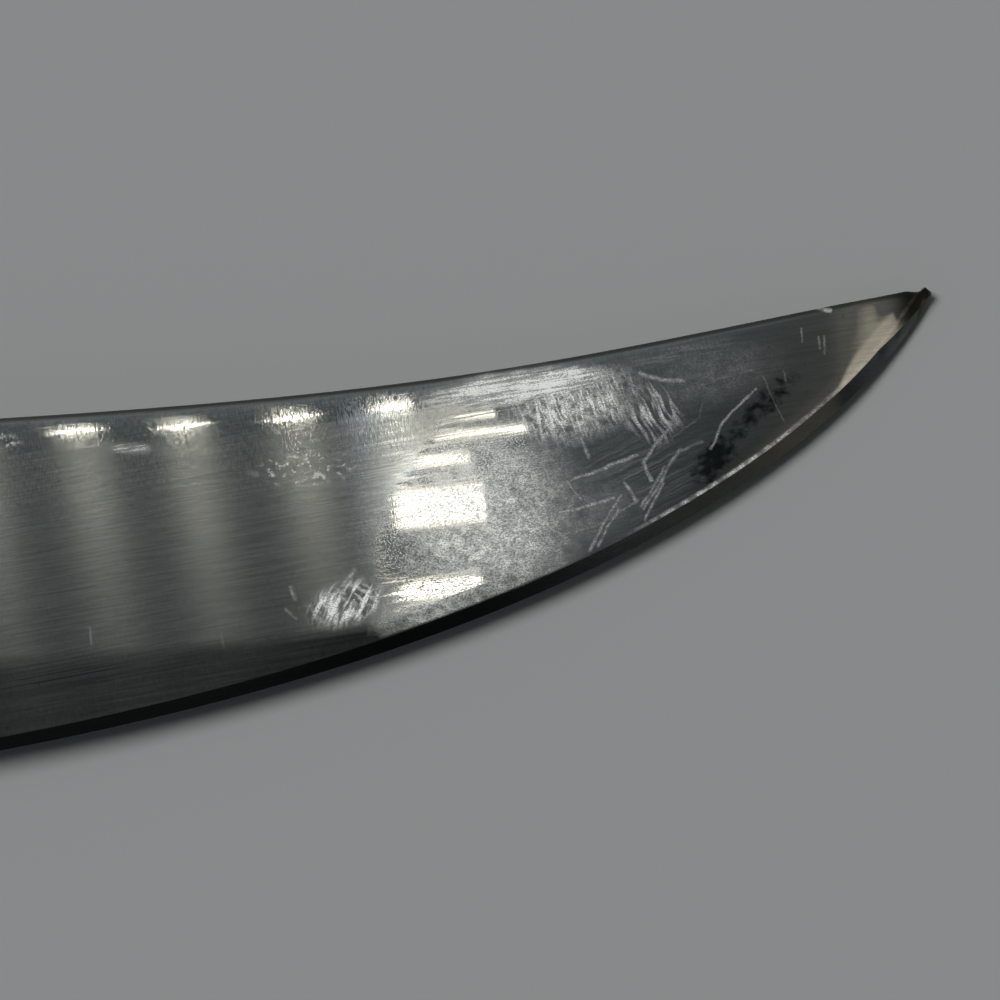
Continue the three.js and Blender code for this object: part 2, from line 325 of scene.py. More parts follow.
# Meshes
def in_scene(name, data):
    made = bpy.data.objects.new(name, data)
    bpy.context.scene.collection.objects.link(made)
    return made


def mesh_object(name, mesh):
    data = bpy.data.meshes.new(name)
    mesh.to_mesh(data)
    mesh.free()
    return in_scene(name, data)


def closed_loft(name, sections, sharp_rows=(), marks=None):
    """Skin over sections that each run out along one side and back along the other, closed at both ends.

    Edges along the sharp rows stay crisp. marks holds a list for each name, with one number to a point."""
    mesh = bmesh.new()
    layers = {mark: mesh.verts.layers.float.new(mark) for mark in marks or {}}
    rows = []
    for number, section in enumerate(sections):
        rows.append([mesh.verts.new(point) for point in section])
        for mark, layer in layers.items():
            for vertex, value in zip(rows[-1], marks[mark][number]):
                vertex[layer] = value
    sides = len(rows[0])
    for before, after in zip(rows, rows[1:]):
        for side in range(sides):
            following = (side + 1) % sides
            mesh.faces.new((before[side], before[following], after[following], after[side]))
    for end in (rows[0][::-1], rows[-1]):
        for rung in range(sides // 2 - 1):
            mesh.faces.new((end[rung], end[rung + 1], end[sides - 2 - rung], end[sides - 1 - rung]))
    for before, after in zip(rows, rows[1:]):
        for side in sharp_rows:
            mesh.edges.get((before[side], after[side])).smooth = False
    return laid_object(name, mesh)


def laid_object(name, mesh):
    """Turns a mesh's faces outwards, smooths them and lays it where the knife lies."""
    mesh.normal_update()
    if mesh.calc_volume(signed=True) < 0:
        bmesh.ops.reverse_faces(mesh, faces=mesh.faces)
    for face in mesh.faces:
        face.smooth = True
    mesh.transform(lay)
    return mesh_object(name, mesh)


def turned(name, profile, x, flush=None):
    """A body turned from (radius, height) points round a rivet's axis.

    flush, where given, says how high a point stands."""
    y = handle_middle(x)
    mesh = bmesh.new()
    rings = []
    for radius, height in profile:
        ring = []
        for side in range(RIVET_SIDES if radius else 1):
            angle = 2 * math.pi * side / RIVET_SIDES
            place = x + radius * math.cos(angle)
            level = flush(place, height) if flush else height
            ring.append(mesh.verts.new((place, y + radius * math.sin(angle), level)))
        rings.append(ring)
    for before, after in zip(rings, rings[1:]):
        for side in range(RIVET_SIDES):
            following = (side + 1) % RIVET_SIDES
            corners = [before[side % len(before)], before[following % len(before)]]
            corners += [after[following % len(after)], after[side % len(after)]]
            mesh.faces.new(dict.fromkeys(corners))
    return laid_object(name, mesh)


def crisp(made, degrees):
    made.data.set_sharp_from_angle(angle=math.radians(degrees))


def drilled(made, cutters):
    """Cuts the rivets' holes through a piece."""
    for cutter in cutters:
        hole = made.modifiers.new("hole", "BOOLEAN")
        hole.object = cutter
        hole.solver = "EXACT"
    cut = made.evaluated_get(bpy.context.evaluated_depsgraph_get())
    with_holes = bpy.data.meshes.new_from_object(cut)
    made.modifiers.clear()
    made.data = with_holes
    return made


# Blade
def steel_side(spine, edge, ground):
    """One side of the steel between two points: its height from spine to edge, how much longer the edge's
    slope makes it than it is across, and the depth and half thickness of each row from the spine down.

    ground is 0 on the tang and 1 on the ground blade."""
    height = math.dist(spine, edge)
    x = edge[0]
    slope = 0
    if ground:
        rise = edge_height(min(x + SLOPE_STEP, BLADE_LENGTH)) - edge_height(x - SLOPE_STEP)
        slope = rise / (2 * SLOPE_STEP)
    stretch = between(1, math.hypot(1, slope), ground)
    crowding = min(1, TIP_CROWDING * height / (SPINE_SHOULDER + EDGE_LAND * stretch))
    ease = CORNER_EASE * crowding
    spine_round = between(ease, SPINE_ROUND * crowding, ground)
    shoulder = between(2 * ease, SPINE_SHOULDER * crowding, ground)
    bevel = between(ease, EDGE_BEVEL * stretch * crowding, ground)
    land = max(height - GRIND_DEPTH, EDGE_LAND * stretch * crowding)
    grind = height - between(2 * ease, land, ground)
    flat_share = between(1 - CORNER_EASE / steel_half, SPINE_FLAT_SHARE, ground)
    roll_width = min(EDGE_ROLL_WIDTH, EDGE_ROLL_SHARE * height / stretch)
    roll_drop = EDGE_ROLL_DROP * eased(*EDGE_ROLL_X, x) * roll_width / EDGE_ROLL_WIDTH

    def flank(depth):
        y = between(spine[1], edge[1], depth / height)
        half = between(steel_half, flank_half(x, y), ground)
        half -= SHOULDER_LEAN * ground / 2 * max(0, shoulder - depth) ** 2
        reach = (height - depth) / stretch
        return half - roll_drop * max(0, 1 - reach / roll_width) ** 2

    depths = []
    halves = []
    for turn in range(ROUND_STEPS + 1):
        angle = math.pi / 2 * turn / ROUND_STEPS
        depth = spine_round * (1 - math.cos(angle))
        depths.append(depth)
        halves.append(flank(depth) * between(flat_share, 1, math.sin(angle)))
    for row in range(1, SHOULDER_STEPS + 1):
        depths.append(between(spine_round, shoulder, row / SHOULDER_STEPS))
        halves.append(flank(depths[-1]))
    for row in range(1, FLANK_STEPS + 1):
        depths.append(between(shoulder, grind, row / FLANK_STEPS))
        halves.append(flank(depths[-1]))
    top = halves[-1]
    runout = eased(*GRIND_RUNOUT_X, x)
    bevel_half = between(steel_half, min(EDGE_THICKNESS / 2, EDGE_THINNING * top), ground)
    edge_half = between(steel_half - CORNER_EASE, EDGE_RADIUS, ground)
    for row in range(1, GRIND_STEPS + 1):
        depths.append(between(grind, height - bevel, row / GRIND_STEPS))
        thinned = min(between(top, bevel_half, row / GRIND_STEPS), flank(depths[-1]))
        halves.append(between(thinned, flank(depths[-1]), runout))
    bevel_half = halves[-1]
    for row in range(1, BEVEL_STEPS + 1):
        depths.append(between(height - bevel, height, row / BEVEL_STEPS))
        halves.append(between(bevel_half, edge_half, row / BEVEL_STEPS))
    return height, stretch, depths, halves


def steel_stations():
    """Pairs of spine and edge points from the butt to the tip, each with how far it is ground."""
    back = evenly_along(HANDLE_BACK, TANG_STEPS)
    underside = evenly_along(HANDLE_UNDERSIDE, TANG_STEPS)
    stations = [(over, under, 0) for (over, _), (under, _) in zip(back[-2:0:-1], underside[-2:0:-1])]
    x = 0
    while x < BLADE_LENGTH - TIP_STEP / 2:
        stations.append(((x, spine_height(x)), (x, edge_height(x)), eased(*PLUNGE, x)))
        x += BLADE_STEP if x < TIP_STEP_X else TIP_STEP
    stations.append(((BLADE_LENGTH, spine_height(BLADE_LENGTH)), (BLADE_LENGTH, edge_tip_y), 1))
    return stations


def forged_blade():
    """The blade, its ricasso and its full tang, one piece of steel."""
    sections = []
    marks = {"below_spine": [], "above_edge": []}
    for spine, edge, ground in steel_stations():
        height, stretch, depths, halves = steel_side(spine, edge, ground)
        droop = TIP_DROOP * eased(*TIP_DROOP_X, edge[0])
        side = []
        for depth, half in zip(depths, halves):
            x = between(spine[0], edge[0], depth / height)
            y = between(spine[1], edge[1], depth / height)
            side.append((x, y, half))
        upper = [(x, y, half - droop) for x, y, half in side]
        lower = [(x, y, -half - droop) for x, y, half in side]
        sections.append(upper + lower[::-1])
        marks["below_spine"].append(depths + depths[::-1])
        reaches = [between(HEEL_WIDTH, (height - depth) / stretch, ground) for depth in depths]
        marks["above_edge"].append(reaches + reaches[::-1])
    last = len(sections[0]) - 1
    grind_row = ROUND_STEPS + SHOULDER_STEPS + FLANK_STEPS
    bevel_row = grind_row + GRIND_STEPS
    edge_row = bevel_row + BEVEL_STEPS
    crisp_rows = [row for side in (bevel_row, edge_row) for row in (side, last - side)]
    return closed_loft("forged_blade", sections, crisp_rows, marks)


# Handle
def drawn_in(chain, turn, inset):
    """An outline's points moved inwards from its curve and from the straight front of the handle."""
    points = []
    for place, along in chain:
        x = place.x - turn * along.y * inset
        y = place.y + turn * along.x * inset
        points.append((min(x, -inset), y))
    return points


def shaped_scale(name, side):
    """One wooden scale: upright walls, a rounded rim and a flat face.

    side is 1 above the steel and -1 below it."""
    back = evenly_along(HANDLE_BACK, OUTLINE_STEPS)
    underside = evenly_along(HANDLE_UNDERSIDE, OUTLINE_STEPS)
    rows = [(INNER_EASE, lambda x: scale_seat), (0, lambda x: scale_seat + INNER_EASE)]
    for step in range(RIM_STEPS + 1):
        angle = math.pi / 2 * step / RIM_STEPS
        share = 1 - SCALE_ROUND_HEIGHT * (1 - math.sin(angle)) / handle_front_half
        inset = SCALE_ROUND_WIDTH * (1 - math.cos(angle))
        rows.append((inset, lambda x, share=share: share * handle_half(x)))
    sections = []
    for inset, level in rows:
        over = drawn_in(back, 1, inset)
        under = drawn_in(underside, -1, inset)
        outline = over + under[::-1]
        sections.append([(x, y, side * level(x)) for x, y in outline])
    return closed_loft(name, sections)


def rivet_stations():
    pitch = (HANDLE_LENGTH - RIVET_FRONT - RIVET_REAR) / (len(RIVET_NAMES) - 1)
    return [(name, -RIVET_FRONT - number * pitch) for number, name in enumerate(RIVET_NAMES)]


def rivet_hole(x):
    """Cutter for one rivet's stepped hole through the whole handle."""
    hole = RIVET_TUBE_RADIUS + RIVET_CLEARANCE
    sink = RIVET_HEAD_RADIUS + RIVET_CLEARANCE
    past = handle_half(x) + RIVET_HEAD_HEIGHT
    floor = handle_half(x) - RIVET_HEAD_HEIGHT - RIVET_CLEARANCE
    profile = [(0, -past), (sink, -past), (sink, -floor), (hole, -floor)]
    profile += [(radius, -height) for radius, height in profile[::-1]]
    return turned("hole_cutter", profile, x)


def head_profile(seat):
    """A rivet head's profile from its shank out to the middle of its face, its corner broken by sanding."""
    past = seat + RIVET_HEAD_HEIGHT
    return [
        (RIVET_HEAD_RADIUS, seat),
        (RIVET_HEAD_RADIUS, past - RIVET_EASE),
        (RIVET_HEAD_RADIUS - RIVET_EASE * EASE_BULGE, past - RIVET_EASE * EASE_BULGE),
        (RIVET_HEAD_RADIUS - RIVET_EASE, past),
        (RIVET_HEAD_RADIUS / 2, past),
        (0, past),
    ]


def flush_with_scale(x):
    """Heights of a rivet at x tilted so that its heads lie flush with the tapering scales."""
    def level(place, height):
        lean = (handle_half(place) - handle_half(x)) / handle_half(x)
        return height * (1 + lean)
    return level


def rivet_tube(name, x):
    seat = handle_half(x) - RIVET_HEAD_HEIGHT
    end = seat - RIVET_END_GAP
    bore = RIVET_PIN_RADIUS + PIN_CLEARANCE
    head = [(radius, -height) for radius, height in head_profile(seat)[::-1]]
    tube = [(RIVET_TUBE_RADIUS, -seat), (RIVET_TUBE_RADIUS, end), (bore, end), (bore, -seat), (0, -seat)]
    return turned(name, head + tube, x, flush_with_scale(x))


def rivet_pin(name, x):
    seat = handle_half(x) - RIVET_HEAD_HEIGHT
    end = seat - RIVET_END_GAP
    profile = [(0, -end), (RIVET_PIN_RADIUS, -end), (RIVET_PIN_RADIUS, seat)] + head_profile(seat)
    return turned(name, profile, x, flush_with_scale(x))


# Materials
# What the nodes of a kind are set to, unless a call says otherwise. So Math multiplies, and a MapRange is a
# smooth step: as its first input goes from the second to the third, it goes from the fourth to the fifth,
# or from 0 to 1.
USUAL_SETTINGS = {
    "Math": {"operation": "MULTIPLY"},
    "MapRange": {"interpolation_type": "SMOOTHSTEP"},
    "Mapping": {"vector_type": "TEXTURE"},
    "Mix": {"data_type": "RGBA"},
}


def linear(colour):
    """A colour written as sRGB hex, turned to linear red, green, blue and alpha."""
    channels = [int(colour[place:place + 2], 16) / 255 for place in (1, 3, 5)]
    return tuple(c / 12.92 if c <= 0.04045 else ((c + 0.055) / 1.055) ** 2.4 for c in channels) + (1,)


def node(tree, kind, inputs=(), out=0, **settings):
    """Adds a node with its settings and links, and gives its output, or several for a tuple of names.

    inputs are values or other nodes' outputs, in the order of the node's active sockets or by name."""
    made = tree.nodes.new("ShaderNode" + kind)
    for setting, value in {**USUAL_SETTINGS.get(kind, {}), **settings}.items():
        setattr(made, setting, value)
    active = [socket for socket in made.inputs if socket.enabled]
    named = inputs.items() if isinstance(inputs, dict) else enumerate(inputs)
    for key, value in named:
        socket = active[key] if isinstance(key, int) else next(s for s in active if s.name == key)
        if isinstance(value, bpy.types.NodeSocket):
            tree.links.new(value, socket)
        else:
            socket.default_value = value
    given = [socket for socket in made.outputs if socket.enabled]
    if isinstance(out, tuple):
        return [made.outputs[name] for name in out]
    return given[out] if isinstance(out, int) else made.outputs[out]


def new_material(name):
    material = bpy.data.materials.new(name)
    material.use_nodes = True
    tree = material.node_tree
    shader = next(each for each in tree.nodes if each.type == "BSDF_PRINCIPLED")
    return material, tree, shader


def surface(tree, shader, colour, gloss, relief):
    """Gives a shader its colour, its gloss and its relief in millimetres."""
    bumped = node(tree, "Bump", {"Strength": 1, "Distance": MM, "Height": relief})
    for name, value in (("Base Color", colour), ("Roughness", gloss), ("Normal", bumped)):
        tree.links.new(value, shader.inputs[name])


def knife_millimetres(tree):
    """Place on the knife in its own frame, in millimetres."""
    metres = node(tree, "TexCoord", out="Object")
    return node(tree, "Mapping", (metres, lay_offset * MM, (0, SCALE_TAPER, 0), (MM, MM, MM)))


def stretched(tree, place, size, seed=0):
    """The place measured in grains of a pattern whose grains have that size in millimetres."""
    scale = tuple(1 / length for length in size)
    return node(tree, "VectorMath", (place, scale, (seed, seed, seed)), operation="MULTIPLY_ADD")


# Wear on the blade, in the knife's frame. Scratches: the places that each runs through, its width and how
# white it is
SCRATCHES = [
    (((93.8, -6.4), (98.0, -5.3), (102.3, -3.8)), 0.24, 0.55),
    (((94.2, -7.6), (98.3, -6.9), (100.7, -6.3)), 0.26, 0.58),
    (((92.4, -9.1), (95.4, -7.7)), 0.32, 0.33),
    (((97.0, -8.4), (99.6, -7.9), (102.1, -6.5)), 0.2, 0.33),
    (((97.5, -4.1), (98.8, -6.4)), 0.22, 0.46),
    (((98.9, -2.4), (99.4, -3.9)), 0.24, 0.46),
    (((101.3, -5.4), (101.9, -6.5)), 0.22, 0.53),
    (((101.1, -6.0), (99.0, -9.4)), 0.22, 0.43),
    (((100.9, -7.0), (99.5, -9.1)), 0.22, 0.43),
    (((96.3, -7.8), (96.6, -8.9)), 0.26, 0.46),
    (((96.9, -9.0), (97.2, -9.6)), 0.26, 0.4),
    (((109.3, -0.2), (108.1, -1.3), (107.0, -2.4), (106.4, -3.7)), 0.17, 0.49),
    (((108.4, 2.2), (109.4, 1.3), (110.8, -2.5)), 0.1, 0.17),
    (((104.5, -1.4), (104.1, -2.4), (103.0, -3.5), (102.4, -4.3), (102.9, -5.4)), 0.22, 0.46),
    (((104.7, -3.5), (102.2, -7.2)), 0.2, 0.4),
    (((103.8, -4.5), (102.1, -7.0)), 0.2, 0.4),
    (((103.5, -5.5), (102.3, -7.8)), 0.2, 0.4),
    (((103.2, -3.6), (105.9, -1.9), (106.1, -0.9)), 0.14, 0.13),
    (((104.4, -3.8), (106.0, -3.2)), 0.22, 0.23),
    (((102.6, 0.9), (104.0, 0.5), (105.1, 0.4)), 0.34, 0.46),
    (((106.0, 0.1), (109.2, 0.9)), 0.24, 0.23),
    (((112.2, 3.2), (112.2, 2.4)), 0.14, 0.23),
    (((113.2, 2.7), (113.2, 1.9)), 0.14, 0.23),
    (((113.5, 2.7), (113.4, 1.6)), 0.14, 0.23),
    (((110.9, 0.7), (111.0, 0.1)), 0.16, 0.2),
    (((113.2, 4.5), (113.9, 4.3)), 0.3, 0.8),
    (((85.0, -10.6), (85.7, -9.7)), 0.26, 0.46),
    (((82.1, -10.6), (82.3, -11.3)), 0.22, 0.4),
    (((81.8, -11.8), (82.3, -12.4)), 0.2, 0.26),
    (((70.7, -12.2), (70.8, -13.4)), 0.12, 0.23),
    (((78.1, -12.9), (78.2, -13.9)), 0.12, 0.13),
    (((84.9, -2.0), (87.2, -1.2)), 0.3, 0.13),
]

# Patches rubbed dull: middle, half length, half width, turn in degrees, how white each is and what the
# rubbing left
RUBBED_PATCHES = [
    ((95.0, 0.4), 7.0, 1.4, 7, 1.15, "streaks"),
    ((97.4, 0.6), 4.6, 1.2, 6, 1.6, "streaks"),
    ((104.8, 2.0), 5.6, 0.9, 8, 0.13, "streaks"),
    ((106.4, 0.6), 6.0, 2.4, 14, 0.13, "grains"),
    ((98.6, -0.8), 5.4, 2.8, 14, 1.25, "fur"),
    ((103.2, -1.4), 2.3, 2.4, 0, 0.85, "strokes"),
    ((100.5, -5.6), 7.6, 4.2, 22, 0.12, "hairlines"),
    ((92.9, -6.8), 7.4, 8.4, 0, 0.85, "grains"),
    ((90.6, -12.2), 5.4, 2.8, 14, 0.62, "grains"),
    ((95.2, -11.0), 4.6, 1.6, 18, 0.45, "grains"),
    ((98.4, -7.4), 5.4, 2.4, 20, 0.2, "grains"),
    ((85.2, -11.6), 3.0, 1.6, 15, 1.5, "tangle"),
    ((83.0, -3.7), 4.0, 1.5, 2, 0.8, "dots"),
    ((73.2, -2.1), 1.6, 0.5, -4, 0.6, "streaks"),
    ((75.9, -1.6), 1.0, 0.5, 10, 0.6, "dots"),
    ((66.2, -1.4), 1.0, 0.6, 0, 0.7, "dots"),
]

# Painted dark reflections near the tip, streaks of the dark that the steel would mirror there, given
# likewise but with how dark each is
PAINTED_DARK_REFLECTIONS = [((106.6, -4.3), 2.8, 1.3, 46, 1), ((109.4, -1.5), 4.8, 1.1, 42, 0.7)]
FLAT_ZONE = ((93.2, -6.4), 9.4, 6.2, 54)  # where rubbing left the steel flat, given likewise
FLAT_ZONE_CORE = 0.6  # share of that zone's size that is flat in full
GRAINY_ZONE = ((91.9, -8.6), 7.4, 5.8, 60)  # where grains of scuffed steel lie between the flats
PATCH_CORE = 0.25  # share of a patch's size that is worn in full
SCRATCH_SPREAD = 0.7  # half of a scratch with its faint sides, as a share of its width
SCRATCH_CORE = (0.85, 0.1)  # shares of its half length and of that half that are bright in full
WAVER = 0.4  # how far outlines of wear waver in all
TIP_HAIRS = 0.25  # share of the hairs that is left at the tip
BUFF_TURN = 7.5  # degrees that the buffing lines rise towards the tip

# Where along the blade a finish starts to change, and where it has changed in full
STONED_X = (82, 108)
GRIND_SCUFF_X = (83.5, 88.5)
WIPED_X = (84, 90)
HAIR_RELIEF_X = (86, 90)
SMEAR_X = (96, 106)
BURNISH_HIGHLIGHT_X = (100, 106)
# The burnished line above the edge is painted whiter, partly as a painted highlight
TIP_HAIRS_X = (104, 112)
TIP_BURNISH_HIGHLIGHT_X = (110, 114.5)
TIP_SMEAR_X = (112.5, 116)
# The burr at the point is painted darker from here on
DARKER_POINT_X = (117, 118.8)

# The same below the spine, and for the burnished line above the edge, whose white is partly a painted
# highlight
# The spine's rounded corner is ground dull, and its colour is darkened there as a painted dark reflection
SPINE_CORNER_DULL_PAINTED_DARK = (0.15, 0.45)
POLISHED_DEPTH = (1.4, 2.4)
WIPED_DEPTH = (2.4, 6)
WIPE_MARK_DEPTH = (2.5, 8)
STREAK_DEPTH = (9, 14)
BURNISH_HIGHLIGHT_TOP = (0.85, 1.05)
GRIND_SCUFF_END = (4, -0.8)  # about how far above the edge grains end, at both ends of GRIND_SCUFF_X
GRIND_SCUFF_RAG = 2.4  # most that lumps in the steel move that end

# Roughness of each finish
BUFFED_GLOSS = (0.125, 0.06)
TIP_SMEAR_GLOSS = 0.05  # added to that of the buffed steel there
FLAT_GLOSS = 0.014
STONED_GLOSS = (0.06, 0.145)
CORNER_GLOSS = 0.4
SCUFFED_GLOSS = 0.45

# How far the finest marks stand out, on the steel, the wood and the brass
LINE_RELIEF = 0.0001
HAIR_RELIEF = (0.00045, 0.0001)
GRAIN_RELIEF = 0.004
FIBRE_RELIEF = 0.012
PORE_DEPTH = 0.03
SANDING_RELIEF = 0.006


def own_frame(tree, place, middle, half_length, half_width, turn):
    """The place in the frame of an area on the blade, where its half length and half width are 1."""
    size = (half_length, half_width, BLADE_LENGTH)
    return node(tree, "Mapping", (place, (*middle, 0), (0, 0, math.radians(turn)), size))


def patch(tree, place, middle, half_length, half_width, turn, core=PATCH_CORE):
    """1 in the core of an ellipse on the blade, fading to 0 at its rim."""
    own = own_frame(tree, place, middle, half_length, half_width, turn)
    distance = node(tree, "VectorMath", (own,), "Value", operation="LENGTH")
    return node(tree, "MapRange", (distance, core, 1, 1, 0))


def scratch(tree, place, start, end, width):
    """A scratch between two places on the blade, brightest along its middle."""
    run = Vector(end) - Vector(start)
    middle = (Vector(start) + Vector(end)) / 2
    turn = math.degrees(math.atan2(run.y, run.x))
    own = own_frame(tree, place, middle, (run.length + width) / 2, width * SCRATCH_SPREAD, turn)
    own = node(tree, "VectorMath", (own,), operation="ABSOLUTE")
    along, across = node(tree, "SeparateXYZ", (own,), ("X", "Y"))
    side = node(tree, "MapRange", (across, SCRATCH_CORE[1], 1, 1, 0))
    ends = node(tree, "MapRange", (along, SCRATCH_CORE[0], 1, 1, 0))
    return node(tree, "Math", (side, ends))


def combed(tree, place, turn, length, width, seed=0):
    """Rubbing strokes side by side, each about as long and as wide as given.

    turn is the degrees that they are turned from the blade's length."""
    grain = node(tree, "Mapping", {"Vector": place, "Rotation": (0, 0, math.radians(turn))})
    grain = stretched(tree, grain, (length, width, width), seed)
    strokes = node(tree, "TexNoise", {"Vector": grain, "Scale": 1, "Detail": 1})
    return node(tree, "MapRange", (strokes, 0.4, 0.64))


def stainless_steel():
    """Stainless steel, ground flat, buffed along its length and scratched in use.

    Buffing leaves fine lines along the blade, which smear what they mirror into tall columns across it. The
    middle of the blade is rubbed flat and mirrors sharply between its scuffs. Scuffs scatter light, so they
    look white where the bare steel mirrors the dark."""
    material, tree, shader = new_material("buffed_stainless_steel")
    place = knife_millimetres(tree)
    x = node(tree, "SeparateXYZ", (place,), "X")
    below_spine = node(tree, "Attribute", out="Fac", attribute_name="below_spine")
    above_edge = node(tree, "Attribute", out="Fac", attribute_name="above_edge")
    buff_turn = math.radians(BUFF_TURN)
    buffed = node(tree, "Mapping", {"Vector": place, "Rotation": (0, 0, buff_turn)})

    # Buffing lines 0.16 mm apart and hairs 0.08 mm apart left by wiping across, both coarser than real ones
    # so that they show, and long clouds of tarnish
    lines = stretched(tree, buffed, (12, 0.16, 0.5))
    lines = node(tree, "TexNoise", {"Vector": lines, "Scale": 1, "Detail": 3})
    hairs = stretched(tree, buffed, (0.08, 0.4, 0.5))
    hairs = node(tree, "TexNoise", {"Vector": hairs, "Scale": 1, "Detail": 2})
    cloud = stretched(tree, buffed, (2.6, 0.12, 0.5), 4)
    cloud = node(tree, "TexNoise", {"Vector": cloud, "Scale": 1, "Detail": 4})
    hairy = node(tree, "MapRange", (x, *TIP_HAIRS_X, 1, TIP_HAIRS))

    # Wear: grains of scuffed steel 0.1 mm across, coarser than real ones so that they show, lumps of about
    # 0.5 mm, and outlines that waver and mottle about every millimetre
    grit = stretched(tree, buffed, (0.1, 0.055, 0.1))
    grit = node(tree, "TexNoise", {"Vector": grit, "Scale": 1, "Detail": 1})
    lumps = stretched(tree, place, (0.5, 0.4, 0.4))
    lumps = node(tree, "TexNoise", {"Vector": lumps, "Scale": 1, "Detail": 3})
    wobble = node(tree, "TexNoise", {"Vector": place, "Scale": 0.8, "Detail": 4}, "Color")
    wavering = node(tree, "VectorMath", (wobble, (WAVER, WAVER, 0), place), operation="MULTIPLY_ADD")
    wavering = node(tree, "VectorMath", (wavering, (WAVER / 2, WAVER / 2, 0)), operation="SUBTRACT")
    torn = node(tree, "TexNoise", {"Vector": place, "Scale": 0.9, "Detail": 5, "Roughness": 0.6})
    mottled = node(tree, "MapRange", (torn, 0.3, 0.65, 0.65, 1.1))

    # What each kind of rubbing leaves. Grains end raggedly on the grind, and short of the sharpened bevel.
    grind_scuffs = node(tree, "MapRange", (x, *GRIND_SCUFF_X, *GRIND_SCUFF_END))
    ragged = node(tree, "Math", (lumps, GRIND_SCUFF_RAG, above_edge), operation="MULTIPLY_ADD")
    scuffed = node(tree, "Math", (ragged, grind_scuffs), operation="SUBTRACT")
    scuffed = node(tree, "MapRange", (scuffed, 1, 2.2))
    off_bevel = node(tree, "MapRange", (above_edge, EDGE_BEVEL, EDGE_BEVEL + 0.2))
    scuffed = node(tree, "Math", (scuffed, off_bevel))
    rubbed_grains = node(tree, "MapRange", (lumps, 0.3, 0.7, 0.75, 1.2))
    streaks = combed(tree, place, BUFF_TURN, 2.6, 0.16)
    dabs = node(tree, "MapRange", (lumps, 0.3, 0.65, 0.15, 0.75))
    fur = combed(tree, wavering, -72, 1.1, 0.18, 2)
    crossing = combed(tree, wavering, -35, 0.9, 0.3, 5)
    crossing = node(tree, "Math", (crossing, 0.5))
    tangle = combed(tree, wavering, 62, 1.3, 0.26, 4)
    left_by_rubbing = {
        "streaks": node(tree, "MapRange", (streaks, 0, 1, 0.6, 1.25)),
        "grains": node(tree, "Math", (rubbed_grains, scuffed)),
        "fur": node(tree, "Math", (fur, dabs), operation="MAXIMUM"),
        "strokes": combed(tree, wavering, -64, 1.7, 0.26, 3),
        "tangle": node(tree, "Math", (tangle, crossing), operation="MAXIMUM"),
        "hairlines": combed(tree, wavering, 24, 7, 0.15, 6),
        "dots": node(tree, "MapRange", (lumps, 0.5, 0.66)),
    }

    # How much of the steel is scuffed: scratches, rubbed patches and the burnished line along the edge,
    # which is partly a painted highlight
    coverage = 0
    for places, width, white in SCRATCHES:
        for start, end in zip(places, places[1:]):
            line = scratch(tree, wavering, start, end, width)
            line = node(tree, "Math", (line, white))
            coverage = node(tree, "Math", (coverage, line), operation="MAXIMUM")
    broken = node(tree, "MapRange", (lumps, 0.35, 0.6, 0.5, 1))
    coverage = node(tree, "Math", (coverage, broken))
    for *area, white, rubbing in RUBBED_PATCHES:
        rubbed = patch(tree, wavering, *area)
        for share in (mottled, white, left_by_rubbing[rubbing]):
            rubbed = node(tree, "Math", (rubbed, share))
        coverage = node(tree, "Math", (coverage, rubbed), operation="MAXIMUM")
    # The burnished line above the sharpened bevel, painted whiter, partly as a painted highlight where the
    # bevel's top catches light
    burnish_and_highlight = node(tree, "MapRange", (above_edge, EDGE_BEVEL, EDGE_BEVEL + 0.1))
    for fade in (
        (above_edge, *BURNISH_HIGHLIGHT_TOP, 1, 0),
        (x, *BURNISH_HIGHLIGHT_X, 0, 1),
        (x, *TIP_BURNISH_HIGHLIGHT_X, 0.9, 0.3),
        (lumps, 0.35, 0.65, 0.3, 1),
    ):
        burnish_and_highlight = node(tree, "Math", (burnish_and_highlight, node(tree, "MapRange", fade)))
    coverage = node(tree, "Math", (coverage, burnish_and_highlight), operation="MAXIMUM")
    whitened = node(tree, "MapRange", (grit, 0.3, 0.7, 0.4, 1.05))
    wear = node(tree, "Math", (coverage, whitened), use_clamp=True)

    # Colour: clean steel with faint clouds of tarnish and wipe marks, painted dark reflections near the tip,
    # a dull corner along the spine painted darker as a dark reflection, bright scuffs, and the burr at the
    # point painted darker
    tarnish = node(tree, "MapRange", (cloud, 0.35, 0.65))
    colour = node(tree, "Mix", (tarnish, linear("#c4c6c6"), linear("#b8b9b7")))
    wipe_marks = node(tree, "MapRange", (hairs, 0.38, 0.6, 1, 0))
    wipe_depth = node(tree, "MapRange", (below_spine, *WIPE_MARK_DEPTH, 0.26, 0.06))
    for share in (wipe_depth, hairy):
        wipe_marks = node(tree, "Math", (wipe_marks, share))
    colour = node(tree, "Mix", (wipe_marks, colour, linear("#808385")))
    # Painted dark reflections: dark streaks near the tip, painted into the colour in place of the dark that
    # the steel mirrors there
    dark_reflection_cover = 0
    for *area, dark in PAINTED_DARK_REFLECTIONS:
        dark_reflection_patch = node(tree, "Math", (patch(tree, wavering, *area), dark))
        dark_reflection_cover = node(tree, "Math", (dark_reflection_cover, dark_reflection_patch), operation="MAXIMUM")
    dark_reflection_mask = node(tree, "Math", (dark_reflection_cover, 0.5, lumps), operation="MULTIPLY_ADD")
    dark_reflection_mask = node(tree, "MapRange", (dark_reflection_mask, 0.62, 1.02))
    colour = node(tree, "Mix", (dark_reflection_mask, colour, linear("#565a5c")))
